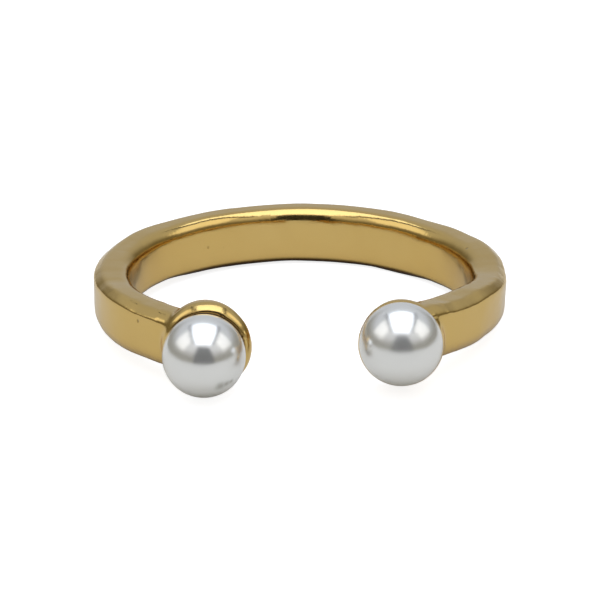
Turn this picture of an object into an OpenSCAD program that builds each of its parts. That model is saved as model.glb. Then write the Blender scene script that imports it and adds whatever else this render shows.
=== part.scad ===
// Open cuff ring: a band that stays open at the front, with a cup and a pearl at each end.
// The origin is the middle of the finger hole, halfway up the band. +Z runs along the hole,
// and the gap faces -Y.

/* [Band] */
// Inner diameter of the band
finger_d = 17.6; // [14:0.1:22]
// Thickness of the band, from the inner wall to the outer wall
band_t = 1.9; // [1.6:0.05:2.6]
// Width of the band, along the finger
band_w = 2.85; // [2.2:0.05:3.6]
// Rounding of the outer edge on the upper side
outer_upper_round = 0.55; // [0.2:0.05:0.9]
// Rounding of the outer edge on the lower side
outer_lower_round = 0.85; // [0.2:0.05:0.9]
// Rounding of the inner edge on the upper side
inner_upper_round = 0.6; // [0.1:0.05:0.7]
// Rounding of the inner edge on the lower side
inner_lower_round = 0.25; // [0.1:0.05:0.7]

/* [Arms] */
// Where the left arm starts, in degrees from the middle of the gap
left_knee = 67; // [58:0.5:90]
// How far the left knee turns, in degrees
left_turn = 15; // [8:0.5:26]
// Length of the left arm, from its knee to the middle of its cup
left_arm_l = 4.75; // [4:0.05:6.5]
// How steeply the left arm rises, in degrees
left_rise = 1.8; // [0.5:0.1:8]
// Where the right arm starts, in degrees from the middle of the gap
right_knee = 84.5; // [58:0.5:90]
// How far the right knee turns, in degrees
right_turn = 22; // [8:0.5:26]
// Length of the right arm, from its knee to the middle of its cup
right_arm_l = 6.25; // [4:0.05:6.5]
// How steeply the right arm rises, in degrees
right_rise = 5.6; // [0.5:0.1:8]
// Radius of each knee, at the middle of the band
knee_r = 6.5; // [4:0.1:9]
// Radius of each arm's own curve, at the middle of the band
arm_r = 17.1; // [14:0.1:60]
// Radius of the bend that lifts each arm, seen from the side
rise_r = 6; // [4:0.5:12]

/* [Cups] */
// Outer diameter of the left cup
left_cup_d = 4.44; // [4:0.02:5]
// Outer diameter of the right cup
right_cup_d = 4.24; // [4:0.02:5]
// Radius of the rounded lip
lip_r = 0.65; // [0.4:0.05:0.8]
// Depth of the domed back, behind the middle of the lip
cup_back = 1.1; // [0.8:0.1:1.6]
// How far a cup sits nearer to the finger than the middle of its arm
cup_inset = 0.3; // [0:0.05:0.6]
// How far the left cup sits below the middle of its arm
left_cup_down = 0.05; // [0:0.05:0.6]
// How far the right cup sits below the middle of its arm
right_cup_down = 0.4; // [0:0.05:0.6]
// How far the left cup faces outwards, in degrees
left_face_out = 3; // [-10:1:20]
// How far the left cup faces up, in degrees
left_face_up = 1.5; // [-10:0.5:20]
// How far the right cup faces outwards, in degrees
right_face_out = -3; // [-10:1:20]
// How far the right cup faces up, in degrees
right_face_up = 18.5; // [-10:0.5:20]

/* [Pearls] */
// Diameter of a pearl
pearl_d = 4; // [3.4:0.05:4.4]
// How far a pearl's middle stands in front of the middle of its lip
pearl_out = 1.53; // [1.2:0.01:1.9]
// Gap between a pearl and its seat
seat_gap = 0.04; // [0.02:0.01:0.1]
// Diameter of the peg that holds a pearl
peg_d = 0.8; // [0.5:0.05:1.2]
// How far a peg reaches into its pearl
peg_in = 1.6; // [0.8:0.1:2.4]
// Gap round a peg in its hole, and past its tip
peg_gap = 0.05; // [0.02:0.01:0.1]

/* [Hidden] */
$fn = 96;

finger_r = finger_d / 2;
middle_r = finger_r + band_t / 2;
pearl_r = pearl_d / 2;
seat_bottom = pearl_out - pearl_r - seat_gap;
peg_tip = pearl_out - pearl_r + peg_in;

// How far a peg is rooted in the metal behind its seat
peg_root = 0.25;
// How much smaller a let-in stretch of the band is all round, and how far it is let in
let_in = 0.01;
let_in_l = 0.04;
// How far the pieces that round the section's corners reach outside it
corner_over = 0.5;
quarter_turn = 90;

// One row for each end, and what its places hold
left_end = [-1, left_knee, left_turn, left_arm_l, left_rise,
            left_cup_d, left_cup_down, left_face_out, left_face_up];
right_end = [1, right_knee, right_turn, right_arm_l, right_rise,
             right_cup_d, right_cup_down, right_face_out, right_face_up];
function side(e) = e[0];
function knee(e) = e[1];
function turn(e) = e[2];
function arm_l(e) = e[3];
function rise(e) = e[4];
function cup_d(e) = e[5];
function cup_down(e) = e[6];
function face_out(e) = e[7];
function face_up(e) = e[8];

// Where an arm starts, in degrees from the X axis, which is a quarter turn from the gap
function start_angle(e) = knee(e) - quarter_turn;

// Vectors turned about X and about Z
function turned_x(v, a) = [v[0], v[1] * cos(a) - v[2] * sin(a), v[1] * sin(a) + v[2] * cos(a)];
function turned_z(v, a) = [v[0] * cos(a) - v[1] * sin(a), v[0] * sin(a) + v[1] * cos(a), v[2]];

// The middle of a cup, on the right-hand side: from the arm's tip back through the knee and the
// rise to the round of the band
function tip(e) = [arm_r - cup_inset, 0, -cup_down(e)];
function tip_in_arm(e) = turned_z(tip(e), -bend_angle(arm_l(e), arm_r)) - [arm_r, 0, 0];
function tip_in_knee(e) = turned_z(tip_in_arm(e) + [knee_r, 0, 0], -turn(e)) - [knee_r, 0, 0];
function tip_in_rise(e) = turned_x(tip_in_knee(e) - [0, 0, rise_r], -rise(e)) + [0, 0, rise_r];
function cup_middle(e) = turned_z(tip_in_rise(e) + [middle_r, 0, 0], start_angle(e));

// The band's section, centred: outwards is +X, up is +Y. A stretch that is let into the ones
// before and after it is smaller all round, so that no two faces lie on each other.
module band_section(less = 0) {
    half_t = band_t / 2 - less;
    half_w = band_w / 2 - less;
    difference() {
        square([2 * half_t, 2 * half_w], center = true);
        section_corner(half_t, half_w, outer_upper_round - less);
        section_corner(half_t, -half_w, outer_lower_round - less);
        section_corner(-half_t, half_w, inner_upper_round - less);
        section_corner(-half_t, -half_w, inner_lower_round - less);
    }
}

// What rounding takes off at one corner of the section
module section_corner(x, y, r) {
    reach = r + corner_over;
    difference() {
        translate([x + sign(x) * (corner_over - r) / 2, y + sign(y) * (corner_over - r) / 2])
            square(reach, center = true);
        translate([x - sign(x) * r, y - sign(y) * r])
            circle(r);
    }
}

// The angle, in degrees, of a stretch of length l along a bend of radius r
function bend_angle(l, r) = l / r * 180 / PI;

// How far, in degrees, a stretch that is smaller reaches into the ones before and after it
function lap(less, r) = less > 0 ? bend_angle(let_in_l, r) : 0;

// A bend of the band in its own plane, towards the finger
module bend_in(r, a, less = 0) {
    translate([-r, 0, 0])
        rotate_extrude(start = -a - lap(less, r), angle = a + 2 * lap(less, r))
            translate([r, 0])
                band_section(less);
}

// A bend of the band upwards
module bend_up(r, a, less = 0) {
    translate([0, 0, r])
        rotate([0, 90, 0])
            rotate_extrude(start = -a - lap(less, r), angle = a + 2 * lap(less, r))
                translate([r, 0])
                    rotate(90)
                        band_section(less);
}

// Moves what follows past a bend in the band's own plane
module past_bend_in(r, a) {
    translate([-r, 0, 0])
        rotate([0, 0, -a])
            translate([r, 0, 0])
                children();
}

// Moves what follows past a bend upwards
module past_bend_up(r, a) {
    translate([0, 0, r])
        rotate([-a, 0, 0])
            translate([0, 0, -r])
                children();
}

// The round of the band, from one knee round the back to the other
module band_round() {
    rotate_extrude(start = start_angle(right_end), angle = 360 - right_knee - left_knee)
        translate([middle_r, 0])
            band_section();
}

// One arm: its rise, its knee and its own long curve
module arm(e) {
    rotate([0, 0, start_angle(e)])
        translate([middle_r, 0, 0]) {
            bend_up(rise_r, rise(e), let_in);
            past_bend_up(rise_r, rise(e)) {
                bend_in(knee_r, turn(e));
                past_bend_in(knee_r, turn(e))
                    bend_in(arm_r, bend_angle(arm_l(e), arm_r), let_in);
            }
        }
}

// Puts what follows at a cup, with the cup's mouth towards its own +Z
module at_cup(e) {
    translate(cup_middle(e))
        rotate([quarter_turn - face_up(e), 0, face_out(e)])
            children();
}

// A cup's outer form: a domed back that runs into a rounded lip
module cup(e) {
    cup_r = cup_d(e) / 2;
    lip_middle_r = cup_r - lip_r;
    rotate_extrude() {
        translate([lip_middle_r, 0])
            circle(lip_r);
        translate([0, -cup_back])
            square([lip_middle_r, cup_back + lip_r]);
        intersection() {
            circle(cup_r);
            translate([0, -cup_back])
                square([cup_r, cup_back]);
        }
    }
}

// The round hollow that a pearl sits in
module seat() {
    translate([0, 0, pearl_out])
        sphere(pearl_r + seat_gap);
}

// The peg, from the metal behind the seat to its tip inside the pearl
module peg() {
    translate([0, 0, seat_bottom - peg_root])
        cylinder(h = peg_tip - seat_bottom + peg_root, d = peg_d);
}

// One end of the band, on the right-hand side. The cup is cut back to the finger hole's wall.
module band_end(e) {
    difference() {
        union() {
            arm(e);
            difference() {
                at_cup(e) cup(e);
                cylinder(h = 4 * cup_d(e), r = finger_r, center = true);
            }
        }
        at_cup(e) seat();
    }
    at_cup(e) peg();
}

// Mirrors what follows for the end on the left
module on_side(e) {
    mirror([side(e) < 0 ? 1 : 0, 0, 0])
        children();
}

module band() {
    color("khaki") {
        band_round();
        on_side(left_end) band_end(left_end);
        on_side(right_end) band_end(right_end);
    }
}

// A pearl, drilled from the back for its peg
module pearl(e) {
    color("whitesmoke")
        on_side(e)
            at_cup(e)
                difference() {
                    translate([0, 0, pearl_out])
                        sphere(pearl_r);
                    translate([0, 0, pearl_out - 2 * pearl_r])
                        cylinder(h = peg_tip + peg_gap - pearl_out + 2 * pearl_r, d = peg_d + 2 * peg_gap);
                }
}

module pearl_left() {
    pearl(left_end);
}

module pearl_right() {
    pearl(right_end);
}

band();
pearl_left();
pearl_right();
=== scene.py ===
import math

import bpy
from mathutils import Euler, Matrix, Vector


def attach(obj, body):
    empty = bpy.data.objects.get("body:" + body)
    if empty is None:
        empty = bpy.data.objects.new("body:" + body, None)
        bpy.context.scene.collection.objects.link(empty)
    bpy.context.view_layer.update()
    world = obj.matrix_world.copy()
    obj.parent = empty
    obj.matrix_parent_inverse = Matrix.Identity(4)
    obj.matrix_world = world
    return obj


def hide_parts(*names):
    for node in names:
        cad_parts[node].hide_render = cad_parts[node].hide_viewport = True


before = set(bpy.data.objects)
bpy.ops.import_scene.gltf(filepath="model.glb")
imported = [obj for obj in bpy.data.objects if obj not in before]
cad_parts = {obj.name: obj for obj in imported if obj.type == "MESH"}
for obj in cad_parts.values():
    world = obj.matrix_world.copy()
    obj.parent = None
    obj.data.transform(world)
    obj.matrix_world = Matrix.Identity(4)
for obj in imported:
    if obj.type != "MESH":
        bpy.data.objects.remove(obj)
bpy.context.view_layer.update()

# pieces are modelled in millimetres and brought to metres when they are done
millimetre = 0.001
# points nearer to each other than this become one
mergeReach = 0.0005


def activate(obj):
    bpy.ops.object.select_all(action='DESELECT')
    obj.select_set(True)
    bpy.context.view_layer.objects.active = obj


def startEdit(obj):
    activate(obj)
    bpy.ops.object.mode_set(mode='EDIT')
    bpy.ops.mesh.select_mode(type='VERT')


def endEdit():
    bpy.ops.object.mode_set(mode='OBJECT')


def pick(obj, test):
    bpy.ops.mesh.select_all(action='DESELECT')
    bpy.ops.object.mode_set(mode='OBJECT')
    for v in obj.data.vertices:
        v.select = test(v.co)
    bpy.ops.object.mode_set(mode='EDIT')
    bpy.ops.mesh.select_mode(type='VERT')


def cleanUp():
    bpy.ops.mesh.select_all(action='SELECT')
    bpy.ops.mesh.remove_doubles(threshold=mergeReach)
    bpy.ops.mesh.normals_make_consistent(inside=False)


def applyPlace(obj):
    activate(obj)
    bpy.ops.object.transform_apply(location=True, rotation=True, scale=True)


def applyMod(obj, kind, **settings):
    mod = obj.modifiers.new(kind.lower(), kind)
    for name, value in settings.items():
        setattr(mod, name, value)
    activate(obj)
    bpy.ops.object.modifier_apply(modifier=mod.name)


def roughen(obj, name, size, depth, detail):
    # a hand finish: soft swells, by how wide they are, how deep and how detailed
    clouds = bpy.data.textures.new(name, 'CLOUDS')
    clouds.noise_scale = size
    clouds.noise_depth = detail
    applyMod(obj, 'DISPLACE', texture=clouds, texture_coords='LOCAL', strength=depth, mid_level=0.5)


def toMetres(obj):
    obj.scale = (millimetre, millimetre, millimetre)
    applyPlace(obj)


# band: one section swept along the round and both arms
band = dict(
    fingerR=8.8, thick=1.9, wide=2.85,
    # how far each corner is taken off across the band and along the finger, and in how many steps
    outerLower=(0.85, 0.85, 9), outerUpper=(0.45, 0.35, 1),
    innerUpper=(0.6, 0.72, 9), innerLower=(0.45, 0.4, 9),
    kneeR=6.5, armR=17.1, riseR=6.0, stepLen=0.3,
    # the points of an end lie within these of its middle, ahead and all round
    endFlat=0.01, endReach=2.5,
    voxel=0.084, smooth=dict(factor=0.5, iterations=9),
    waves=((1.7, 0.035, 1), (0.8, 0.009, 1)),
)
# the ends are not alike: knee, turn, rise, out and up are in degrees
ends = dict(
    left=dict(knee=67.0, turn=15.0, arm=4.75, rise=1.8, cupR=2.22, down=0.05, inset=0.3, out=3.0, up=1.5),
    right=dict(knee=84.5, turn=22.0, arm=6.25, rise=5.6, cupR=2.12, down=0.4, inset=0.3, out=-3.0, up=18.5),
)
# where the form isn't even: a box's middle and half its size, how far what is in it is pushed, and
# how far round it that reaches
unevenSpots = (
    ((0.15, 9.5, 1.5), (4.95, 4.5, 0.35), (0, 0, 0.17), 2.8),         # the back is wider than the sides
    ((0, 9.5, -1.4), (5.6, 4.5, 0.25), (0, 0, -0.1), 2.4),
    ((6.4, 6.0, -1.35), (0.9, 0.9, 0.3), (0, 0, -0.06), 2.2),
    ((-4.9, 9.2, 0.6), (1.2, 1.0, 0.8), (0.06, -0.11, -0.04), 4.2),   # thinner at the back left
    ((-8.2, 6.3, 1.2), (0.9, 0.9, 0.4), (-0.03, 0.03, 0.07), 3.0),
    ((9.3, 4.9, 0.9), (0.6, 0.6, 0.5), (0.08, 0.10, 0.10), 4.5),      # and fuller at the back right
    ((10.2, 2.6, 0.9), (0.4, 0.6, 0.5), (0.08, 0.05, 0.06), 2.2),
    ((10.2, -3.4, -1.0), (0.4, 0.6, 0.5), (-0.12, 0.05, 0.06), 2.2),
    ((8.9, -0.5, 0.8), (0.5, 0.5, 0.5), (0.08, 0, 0), 3.2),
    ((-9.4, -5.0, 1.05), (0.4, 0.6, 0.3), (0, 0, 0.11), 1.8),         # the crease runs unevenly
    ((8.1, -6.6, 1.5), (0.5, 0.5, 0.4), (0, 0, -0.12), 1.6),
)
middleR = band['fingerR'] + band['thick'] / 2
# the knees are measured from the middle of the gap, which faces -Y
gapAngle = -90
rightKnee = gapAngle + ends['right']['knee']
leftKnee = gapAngle + 360 - ends['left']['knee']


def onePoint(name, x, z):
    bpy.ops.mesh.primitive_plane_add(size=1)
    obj = bpy.context.object
    obj.name = name
    startEdit(obj)
    bpy.ops.mesh.select_all(action='SELECT')
    bpy.ops.mesh.merge(type='CENTER')
    bpy.ops.transform.translate(value=(x, 0, z))
    return obj


def lineBy(x, z):
    bpy.ops.mesh.extrude_region_move(TRANSFORM_OT_translate={'value': (x, 0, z)})


# the section is drawn round its four corners, three oval and one cut straight, outwards to +X
outline = []
for corner, x, z, turned in (('outerLower', 1, -1, 0), ('outerUpper', 1, 1, 1),
                             ('innerUpper', -1, 1, 2), ('innerLower', -1, -1, 3)):
    wide, high, steps = band[corner]
    for i in range(steps + 1):
        a = math.radians(90 * (turned - 1 + i / steps))
        outline.append(Vector((x * (band['thick'] / 2 - wide) + wide * math.cos(a),
                               z * (band['wide'] / 2 - high) + high * math.sin(a))))
shank = onePoint('goldBand', *outline[0])
for last, point in zip(outline, outline[1:]):
    lineBy(*(point - last))
bpy.ops.mesh.select_all(action='SELECT')
bpy.ops.mesh.remove_doubles(threshold=mergeReach)
bpy.ops.mesh.edge_face_add()
endEdit()
startAngle = math.radians(rightKnee)
shank.rotation_euler = (0, 0, startAngle)
shank.location = (middleR * math.cos(startAngle), middleR * math.sin(startAngle), 0)
applyPlace(shank)


def spinOn(place, radius, degrees, upwards=False):
    # spins the picked end on, and gives back where it is then
    point, out, up, ahead = place
    pivot = point + up * radius if upwards else point - out * radius
    axle = ahead.cross(up) if upwards else out.cross(ahead)
    steps = max(1, round(radius * math.radians(degrees) / band['stepLen']))
    bpy.ops.mesh.spin(steps=steps, angle=-math.radians(degrees), center=pivot, axis=axle)
    turn = Matrix.Rotation(math.radians(degrees), 3, axle)
    return pivot + turn @ (point - pivot), turn @ out, turn @ up, turn @ ahead


def placeAt(degrees, way):
    # a place on the round: its middle, and which way is out, up and ahead
    a = math.radians(degrees)
    out = Vector((math.cos(a), math.sin(a), 0))
    return out * middleR, out, Vector((0, 0, 1)), Vector((-out.y, out.x, 0)) * way


startEdit(shank)
bpy.ops.mesh.select_all(action='SELECT')
spinOn(placeAt(rightKnee, 1), middleR, leftKnee - rightKnee)
tips = {}
for side, place in (('left', placeAt(leftKnee, 1)), ('right', placeAt(rightKnee, -1))):
    end = ends[side]
    start, ahead = place[0], place[3]
    pick(shank, lambda co: abs((co - start).dot(ahead)) < band['endFlat']
         and (co - start).length < band['endReach'])
    place = spinOn(place, band['riseR'], end['rise'], upwards=True)
    place = spinOn(place, band['kneeR'], end['turn'])
    place = spinOn(place, band['armR'], math.degrees(end['arm'] / band['armR']))
    tips[side] = place
cleanUp()
endEdit()
print('band swept:', len(shank.data.vertices), 'vertices')

# cups: a profile drawn point by point, then spun
cup = dict(
    lipR=0.65, back=1.1, pearlR=2.0, pearlOut=1.53, seatGap=0.05,
    pegR=0.4, pegIn=1.6, turns=96, backSteps=8, lipSteps=12, seatSteps=16,
    # the form that cuts the cups flush with the finger hole
    fingerSides=256, fingerDeep=12,
)
seatR = cup['pearlR'] + cup['seatGap']
pegAngle = math.acos(cup['pegR'] / seatR)
pegTop = cup['pearlOut'] - cup['pearlR'] + cup['pegIn']


def arcBy(x, z, radians, steps):
    bpy.ops.mesh.spin(steps=steps, angle=radians, center=(x, 0, z), axis=(0, 1, 0))


def spinRound(turns):
    bpy.ops.mesh.select_all(action='SELECT')
    bpy.ops.mesh.spin(steps=turns, angle=2 * math.pi, center=(0, 0, 0), axis=(0, 0, 1))
    cleanUp()
    endEdit()


def cupForm(name, outR):
    # the lip's round meets the seat's round at the rim
    lipMid = outR - cup['lipR']
    toSeat = Vector((-lipMid, cup['pearlOut']))
    along = (cup['lipR'] ** 2 - seatR ** 2 + toSeat.length ** 2) / (2 * toSeat.length)
    across = math.sqrt(cup['lipR'] ** 2 - along ** 2)
    lipDir = toSeat.normalized()
    rim = Vector((lipMid, 0)) + lipDir * along + Vector((lipDir.y, -lipDir.x)) * across
    backAngle = math.asin(cup['back'] / outR)
    obj = onePoint(name, 0, -cup['back'])
    lineBy(outR * math.cos(backAngle), 0)
    arcBy(0, 0, backAngle, cup['backSteps'])
    arcBy(lipMid, 0, math.atan2(rim.y, rim.x - lipMid), cup['lipSteps'])
    rimAngle = math.atan2(cup['pearlOut'] - rim.y, rim.x)
    arcBy(0, cup['pearlOut'], rimAngle - pegAngle, cup['seatSteps'])
    lineBy(0, pegTop - cup['pearlOut'] + seatR * math.sin(pegAngle))
    lineBy(-cup['pegR'], 0)
    spinRound(cup['turns'])
    return obj


# pearl: drilled from the back, very slightly uneven
pearl = dict(holeR=0.45, holeGap=0.05, turns=96, arcSteps=60, uneven=(1.4, 0.012, 2))
holeAngle = math.acos(pearl['holeR'] / cup['pearlR'])
pearlForm = onePoint('pearlForm', 0, cup['pearlOut'] + cup['pearlR'])
arcBy(0, cup['pearlOut'], -(math.pi / 2 + holeAngle), pearl['arcSteps'])
lineBy(0, pegTop + pearl['holeGap'] - cup['pearlOut'] + cup['pearlR'] * math.sin(holeAngle))
lineBy(-pearl['holeR'], 0)
spinRound(pearl['turns'])
print('pearl spun:', len(pearlForm.data.vertices), 'vertices')

# each end gets its cup, cut flush with the finger hole, and its pearl
bpy.ops.mesh.primitive_cylinder_add(vertices=cup['fingerSides'], radius=band['fingerR'],
                                    depth=cup['fingerDeep'])
fingerForm = bpy.context.object
pearls = {}
cups = []
cupMiddles = {}
mouths = {}
seatMiddles = []
for side, sign in (('left', -1), ('right', 1)):
    end = ends[side]
    point, out, up = tips[side][:3]
    middle = point - out * end['inset'] - up * end['down']
    cupMiddles[side] = middle
    endCup = cupForm('cup' + side.capitalize(), end['cupR'])
    endPearl = pearlForm.copy()
    endPearl.data = pearlForm.data.copy()
    endPearl.name = 'pearl' + side.capitalize()
    bpy.context.collection.objects.link(endPearl)
    turned = Euler((math.radians(90 - end['up']), 0, math.radians(end['out'] * sign)))
    for obj in (endCup, endPearl):
        obj.rotation_euler = turned
        obj.location = middle
        applyPlace(obj)
    mouths[side] = turned.to_matrix() @ Vector((0, 0, 1))
    seatMiddles.append((middle + mouths[side] * cup['pearlOut']) * millimetre)
    applyMod(endCup, 'BOOLEAN', operation='DIFFERENCE', object=fingerForm, solver='EXACT')
    cups.append(endCup)
    pearls[side] = endPearl
print('cups and pearls placed')
for form in (pearlForm, fingerForm):
    bpy.data.objects.remove(form, do_unlink=True)

# soldering: one skin over the sweep and both cups
activate(shank)
for endCup in cups:
    endCup.select_set(True)
bpy.ops.object.join()
applyMod(shank, 'REMESH', mode='VOXEL', voxel_size=band['voxel'], adaptivity=0)
applyMod(shank, 'SMOOTH', **band['smooth'])
print('one skin:', len(shank.data.vertices), 'vertices')

# hand finishing: the solder runs soft where an arm meets its cup, and the form is not quite even.
# What is smoothed lies in a ring round the cup, from behind its lip to just in front of the lip's
# middle, and clear of the finger hole.
solder = dict(
    inner=1.75, outer=2.75, back=-2.2, front=0.35, clearOfFinger=8.7,
    smooth=dict(factor=0.5, repeat=14),
)
startEdit(shank)
for side, mouth in mouths.items():
    middle = cupMiddles[side]

    def nearJoint(co):
        fromMiddle = co - middle
        depth = fromMiddle.dot(mouth)
        away = (fromMiddle - mouth * depth).length
        beside = solder['inner'] < away < solder['outer']
        level = solder['back'] < depth < solder['front']
        return beside and level and co.length > solder['clearOfFinger']
    pick(shank, nearJoint)
    bpy.ops.mesh.vertices_smooth(**solder['smooth'])
for spot, size, move, reach in unevenSpots:
    pick(shank, lambda co: all(abs(co[i] - spot[i]) < size[i] for i in range(3)))
    bpy.ops.transform.translate(value=move, use_proportional_edit=True,
                                proportional_edit_falloff='SMOOTH', proportional_size=reach)
cleanUp()
endEdit()
for wave in band['waves']:
    roughen(shank, 'polishWaves', *wave)
for bead in pearls.values():
    roughen(bead, 'pearlUneven', *pearl['uneven'])
for piece in (shank, *pearls.values()):
    toMetres(piece)
    bpy.ops.object.shade_smooth()
print('pieces finished')

# materials: a mask fades in or out over its range, and most of a noise lies in noiseRange
fadeIn = (0.0, 1.0)
fadeOut = (1.0, 0.0)
noiseRange = (0.3, 0.7)


def newMaterial(name):
    mat = bpy.data.materials.new(name)
    mat.use_nodes = True
    tree = mat.node_tree
    tree.nodes.clear()
    out = tree.nodes.new('ShaderNodeOutputMaterial')
    shader = tree.nodes.new('ShaderNodeBsdfPrincipled')
    tree.links.new(shader.outputs['BSDF'], out.inputs['Surface'])
    return mat, tree, shader


def addNode(tree, kind, inputs=(), **settings):
    node = tree.nodes.new(kind)
    for name, value in settings.items():
        setattr(node, name, value)
    for socket, value in dict(inputs).items():
        if hasattr(value, 'links'):
            tree.links.new(value, node.inputs[socket])
        else:
            node.inputs[socket].default_value = value
    return node


def mathNode(tree, operation, first, second):
    return addNode(tree, 'ShaderNodeMath', {0: first, 1: second}, operation=operation).outputs[0]


def noiseNode(tree, vector, scale, detail):
    noise = addNode(tree, 'ShaderNodeTexNoise', {'Vector': vector, 'Scale': scale, 'Detail': detail})
    return noise.outputs['Fac']


def mixNode(tree, factor, first, second):
    mix = addNode(tree, 'ShaderNodeMix', {'Factor': factor, 6: first, 7: second}, data_type='RGBA')
    return mix.outputs[2]


def rampNode(tree, value, fromRange, toRange=fadeIn, kind='SMOOTHSTEP'):
    ramp = addNode(tree, 'ShaderNodeMapRange', {
        'Value': value, 'From Min': fromRange[0], 'From Max': fromRange[1],
        'To Min': toRange[0], 'To Max': toRange[1]}, interpolation_type=kind)
    return ramp.outputs['Result']


def spotMask(tree, coords, middle, fromR, toR):
    away = addNode(tree, 'ShaderNodeVectorMath', {0: coords, 1: middle}, operation='DISTANCE')
    return rampNode(tree, away.outputs['Value'], (fromR, toR), fadeOut)


def spotsMask(tree, coords, spots):
    together = 0.0
    for spot, radius in spots:
        together = mathNode(tree, 'MAXIMUM', together, spotMask(tree, coords, spot, 0.0, radius))
    return together


def bumpNode(tree, height, strength, depth, below=None, dent=False):
    bump = addNode(tree, 'ShaderNodeBump', {
        'Height': height, 'Strength': strength, 'Distance': depth}, invert=dent)
    if below:
        tree.links.new(below, bump.inputs['Normal'])
    return bump.outputs['Normal']


def finishShader(tree, shader, colour, rough, normal, metallic):
    tree.links.new(colour, shader.inputs['Base Color'])
    tree.links.new(rough, shader.inputs['Roughness'])
    tree.links.new(normal, shader.inputs['Normal'])
    shader.inputs['Metallic'].default_value = metallic


# polished gold tone: soft colour clouds, worn polish, marks that run across the band, a few pits, and
# painted shade in the pits, in the seats and along the lower edge of the inner wall.
# A noise is given by its scale and detail, and a bump by its strength and depth.
goldCfg = dict(
    pale=(0.80, 0.57, 0.215, 1), warm=(0.74, 0.50, 0.16, 1), pitShade=(0.32, 0.21, 0.07, 1),
    metallic=1.0, blotch=(260.0, 3.0), polish=(780.0, 5.0), rough=(0.11, 0.20),
    grain=(9000.0, 2.0), grainBump=(0.25, 0.00001), pitBump=(0.6, 0.00004),
    marksRound=34.0, marksUp=260.0, marks=(1.0, 3.0), marksBump=(1.0, 0.000006),
    seat=(0.20, 0.11, 0.03, 1), seatReach=(0.0021, 0.00223),
    lowEdgeShade=(0.09, 0.05, 0.015, 1), lowEdgeShadeZ=(-0.00132, -0.00112), lowEdgeShadeReach=(0.0091, 0.0094),
    pits=(((-0.00514, 0.00714, -0.00005), 0.00014), ((-0.0043, 0.00768, -0.00023), 0.0001),
          ((-0.00789, -0.00706, 0.00083), 0.00014), ((0.00891, 0.00265, 0.00142), 0.00014)),
)
gold, tree, shader = newMaterial('polishedGoldTone')
coords = addNode(tree, 'ShaderNodeTexCoord').outputs['Object']
blotch = noiseNode(tree, coords, *goldCfg['blotch'])
colour = mixNode(tree, blotch, goldCfg['pale'], goldCfg['warm'])
polish = noiseNode(tree, coords, *goldCfg['polish'])
rough = rampNode(tree, polish, noiseRange, goldCfg['rough'], 'LINEAR')
grain = noiseNode(tree, coords, *goldCfg['grain'])
axes = addNode(tree, 'ShaderNodeSeparateXYZ', {'Vector': coords}).outputs
roundBand = mathNode(tree, 'ARCTAN2', axes['Y'], axes['X'])
marksAt = addNode(tree, 'ShaderNodeCombineXYZ', {
    'X': mathNode(tree, 'MULTIPLY', roundBand, goldCfg['marksRound']),
    'Y': mathNode(tree, 'MULTIPLY', axes['Z'], goldCfg['marksUp'])}).outputs['Vector']
marks = noiseNode(tree, marksAt, *goldCfg['marks'])
# the pits are dented by a bump and darkened with painted shade, for the shade inside them
pitted = spotsMask(tree, coords, goldCfg['pits'])
# painted shade: the seats are darkened up to the pearls, for the shade in the gap between pearl and lip
seats = [spotMask(tree, coords, middle, *goldCfg['seatReach']) for middle in seatMiddles]
seated = mathNode(tree, 'MAXIMUM', *seats)
# painted shade: the lower edge of the inner wall is darkened, for the shaded floor it mirrors at the
# contact
low = rampNode(tree, axes['Z'], goldCfg['lowEdgeShadeZ'], fadeOut)
nearHole = spotMask(tree, coords, (0, 0, goldCfg['lowEdgeShadeZ'][0]), *goldCfg['lowEdgeShadeReach'])
lowEdgeShadeMask = mathNode(tree, 'MULTIPLY', low, nearHole)
for mask, shade in ((seated, 'seat'), (lowEdgeShadeMask, 'lowEdgeShade'), (pitted, 'pitShade')):
    colour = mixNode(tree, mask, colour, goldCfg[shade])
normal = bumpNode(tree, grain, *goldCfg['grainBump'])
normal = bumpNode(tree, marks, *goldCfg['marksBump'], below=normal)
normal = bumpNode(tree, pitted, *goldCfg['pitBump'], below=normal, dent=True)
finishShader(tree, shader, colour, rough, normal, goldCfg['metallic'])

# white pearl: a nearly even colour, a soft polish and a dull smudge low on the left one
pearlCfg = dict(
    light=(0.95, 0.945, 0.925, 1), dark=(0.91, 0.91, 0.89, 1), cloud=(420.0, 4.0),
    metallic=0.78, rough=(0.20, 0.26), grain=(5000.0, 2.0), grainBump=(0.2, 0.00001),
    flaw=(0.55, 0.54, 0.50, 1),
    flaws=(((-0.00369, -0.01159, -0.00074), 0.00042), ((-0.00342, -0.01144, -0.00067), 0.0003),
           ((-0.00321, -0.01128, -0.00062), 0.00022)),
)
nacre, tree, shader = newMaterial('whitePearl')
coords = addNode(tree, 'ShaderNodeTexCoord').outputs['Object']
cloud = noiseNode(tree, coords, *pearlCfg['cloud'])
colour = mixNode(tree, cloud, pearlCfg['light'], pearlCfg['dark'])
flawed = spotsMask(tree, coords, pearlCfg['flaws'])
colour = mixNode(tree, flawed, colour, pearlCfg['flaw'])
rough = rampNode(tree, cloud, noiseRange, pearlCfg['rough'], 'LINEAR')
grain = noiseNode(tree, coords, *pearlCfg['grain'])
normal = bumpNode(tree, grain, *pearlCfg['grainBump'])
finishShader(tree, shader, colour, rough, normal, pearlCfg['metallic'])

for piece, mat, slot, node in (
        (shank, gold, 'gold', 'band'),
        (pearls['left'], nacre, 'pearl', 'pearl_left'),
        (pearls['right'], nacre, 'pearl', 'pearl_right')):
    piece.data.materials.clear()
    piece.data.materials.append(mat)
    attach(piece, 'root')
    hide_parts(node)
print('materials set')

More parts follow.
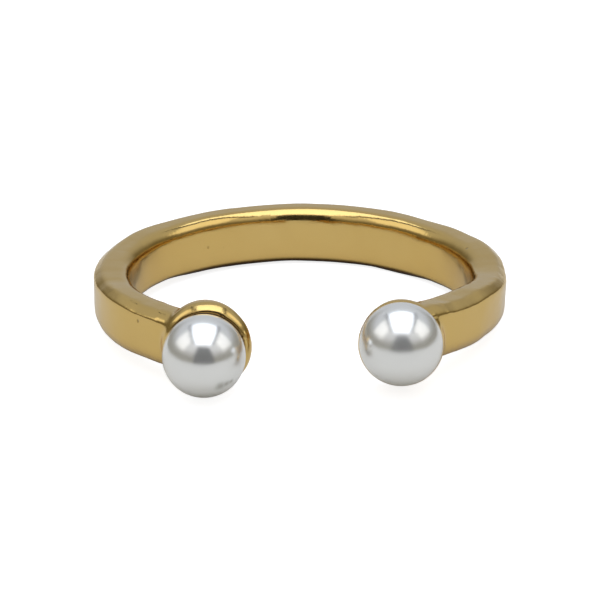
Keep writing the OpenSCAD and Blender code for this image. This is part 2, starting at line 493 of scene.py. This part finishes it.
# floor: the plane that the left cup and the back of the band rest on
floorCfg = dict(
    up=(-0.01437, -0.02436, 0.9996), drop=0.0018108, size=4.0,
    colour=(0.45, 0.45, 0.447, 1), glow=0.84, glowColour=(1.0, 1.0, 1.0, 1),
    under=0.00002, underColour=(0.71, 0.695, 0.655, 1),
    rough=0.9, tooth=(900.0, 3.0), toothBump=(0.1, 0.00005),
)
floorUp = Vector(floorCfg['up']).normalized()
floorTurn = floorUp.to_track_quat('Z', 'Y').to_euler()


def paperMaterial(name, colour, glow):
    mat, tree, shader = newMaterial(name)
    coords = addNode(tree, 'ShaderNodeTexCoord').outputs['Object']
    tooth = noiseNode(tree, coords, *floorCfg['tooth'])
    tree.links.new(bumpNode(tree, tooth, *floorCfg['toothBump']), shader.inputs['Normal'])
    shader.inputs['Base Color'].default_value = colour
    shader.inputs['Roughness'].default_value = floorCfg['rough']
    shader.inputs['Emission Color'].default_value = floorCfg['glowColour']
    shader.inputs['Emission Strength'].default_value = glow
    return mat


litPaper = paperMaterial('litPaperFloor', floorCfg['colour'], floorCfg['glow'])
paper = paperMaterial('paperFloor', floorCfg['underColour'], 0.0)
# the picture shows the sheet lit through from below, the metal and the pearls mirror a plain one
for name, under, mat, inPicture in (
        ('studioFloor', 0.0, litPaper, True),
        ('studioFloorUnder', floorCfg['under'], paper, False)):
    middle = -floorUp * (floorCfg['drop'] + under)
    bpy.ops.mesh.primitive_plane_add(size=floorCfg['size'], location=middle, rotation=floorTurn)
    sheet = bpy.context.object
    sheet.name = name
    sheet.data.materials.append(mat)
    sheet.visible_camera = inPicture
    sheet.visible_shadow = not inPicture
    sheet.visible_diffuse = not inPicture
    sheet.visible_glossy = not inPicture

# studio: a pale grey tent with three soft panels and a few dark things, seen only in reflections
lightCfg = dict(
    top=dict(at=(0, -0.035, 0.30), size=(0.28, 0.42), watts=0.45, colour=(0.90, 0.98, 1.14)),
    left=dict(at=(-0.27, -0.045, 0.24), size=(0.25, 0.25), watts=0.10, colour=(1.0, 0.99, 0.96)),
    right=dict(at=(0.27, -0.045, 0.24), size=(0.25, 0.25), watts=0.10, colour=(1.0, 0.99, 0.96)),
)
for name, cfg in lightCfg.items():
    bpy.ops.object.light_add(type='AREA', location=cfg['at'])
    lamp = bpy.context.object
    lamp.name = name + 'Panel'
    lamp.data.shape = 'RECTANGLE'
    lamp.data.size, lamp.data.size_y = cfg['size']
    lamp.data.energy = cfg['watts']
    lamp.data.color = cfg['colour']
    aim = Vector((0, 0, -1)) if name == 'top' else -Vector(cfg['at'])
    lamp.rotation_euler = aim.to_track_quat('-Z', 'Y').to_euler()

worldCfg = dict(
    front=(0.65, 0.65, 0.65, 1), back=(0.48, 0.50, 0.53, 1), low=(0.17, 0.155, 0.11, 1),
    behind=(-0.5, 0.6), lowFrom=(-0.02, 0.04), lowTo=(0.14, 0.60), lowRound=(0.78, 0.96),
)
world = bpy.data.worlds.new('studioWorld')
bpy.context.scene.world = world
world.use_nodes = True
tree = world.node_tree
tree.nodes.clear()
sky = addNode(tree, 'ShaderNodeTexCoord').outputs['Generated']
axes = addNode(tree, 'ShaderNodeSeparateXYZ', {'Vector': sky}).outputs
# the tent is darker behind, and darkest in a low belt all round but there
behind = rampNode(tree, axes['Y'], worldCfg['behind'])
beltFrom = rampNode(tree, axes['Z'], worldCfg['lowFrom'])
beltTo = rampNode(tree, axes['Z'], worldCfg['lowTo'], fadeOut)
beltRound = rampNode(tree, axes['Y'], worldCfg['lowRound'], fadeOut)
belt = mathNode(tree, 'MULTIPLY', mathNode(tree, 'MULTIPLY', beltFrom, beltTo), beltRound)
tent = mixNode(tree, behind, worldCfg['front'], worldCfg['back'])
tent = mixNode(tree, belt, tent, worldCfg['low'])
glow = addNode(tree, 'ShaderNodeBackground', {'Color': tent})
worldOut = addNode(tree, 'ShaderNodeOutputWorld')
tree.links.new(glow.outputs['Background'], worldOut.inputs['Surface'])

# dark things seen only in reflections: the camera with its stand, upright, and what holds the
# panels apart, turned to the ring
blackCfg = dict(
    cameraCard=dict(at=(0.003, -0.21, 0.098), turned=(90, 0, 0), top=0.15, bottom=0.24, high=0.204),
    leftStrip=dict(at=(-0.165, 0.0, 0.285), turned=(0, -30, 0), top=0.035, bottom=0.035, high=0.42),
    rightStrip=dict(at=(0.165, 0.0, 0.285), turned=(0, 30, 0), top=0.035, bottom=0.035, high=0.42),
)
mattCfg = dict(colour=(0.02, 0.018, 0.016, 1), rough=0.8)
black, tree, shader = newMaterial('mattBlack')
shader.inputs['Base Color'].default_value = mattCfg['colour']
shader.inputs['Roughness'].default_value = mattCfg['rough']
for name, cfg in blackCfg.items():
    bpy.ops.mesh.primitive_plane_add(size=1)
    card = bpy.context.object
    card.name = name
    startEdit(card)
    bpy.ops.mesh.select_all(action='SELECT')
    bpy.ops.transform.resize(value=(cfg['bottom'], cfg['high'], 1))
    pick(card, lambda co: co.y > 0)
    bpy.ops.transform.resize(value=(cfg['top'] / cfg['bottom'], 1, 1))
    endEdit()
    card.location = cfg['at']
    card.rotation_euler = [math.radians(degrees) for degrees in cfg['turned']]
    card.data.materials.append(black)
    card.visible_camera = False
    card.visible_shadow = False
    card.visible_diffuse = False
print('stage set')

# camera: its lens and the middle of its view are in pixels of the square picture
cameraCfg = dict(elevation=19.549, roll=0.355, away=0.10638, lens=2033.2, middle=(299.566, 289.601),
                 picture=600, sensor=36, clip=(0.005, 20))
elevation = math.radians(cameraCfg['elevation'])
roll = math.radians(cameraCfg['roll'])
back = Vector((0, -math.cos(elevation), math.sin(elevation)))
flat = Vector((1, 0, 0))
rise = back.cross(flat)
across = flat * math.cos(roll) + rise * math.sin(roll)
upwards = rise * math.cos(roll) - flat * math.sin(roll)
bpy.ops.object.camera_add(location=back * cameraCfg['away'])
camera = bpy.context.object
camera.rotation_euler = Matrix((across, upwards, back)).transposed().to_euler()
picture = cameraCfg['picture']
camera.data.sensor_width = cameraCfg['sensor']
camera.data.lens = cameraCfg['lens'] / picture * cameraCfg['sensor']
camera.data.shift_x = 0.5 - cameraCfg['middle'][0] / picture
camera.data.shift_y = cameraCfg['middle'][1] / picture - 0.5
camera.data.clip_start, camera.data.clip_end = cameraCfg['clip']
bpy.context.scene.camera = camera
bpy.context.scene.view_settings.view_transform = 'Standard'
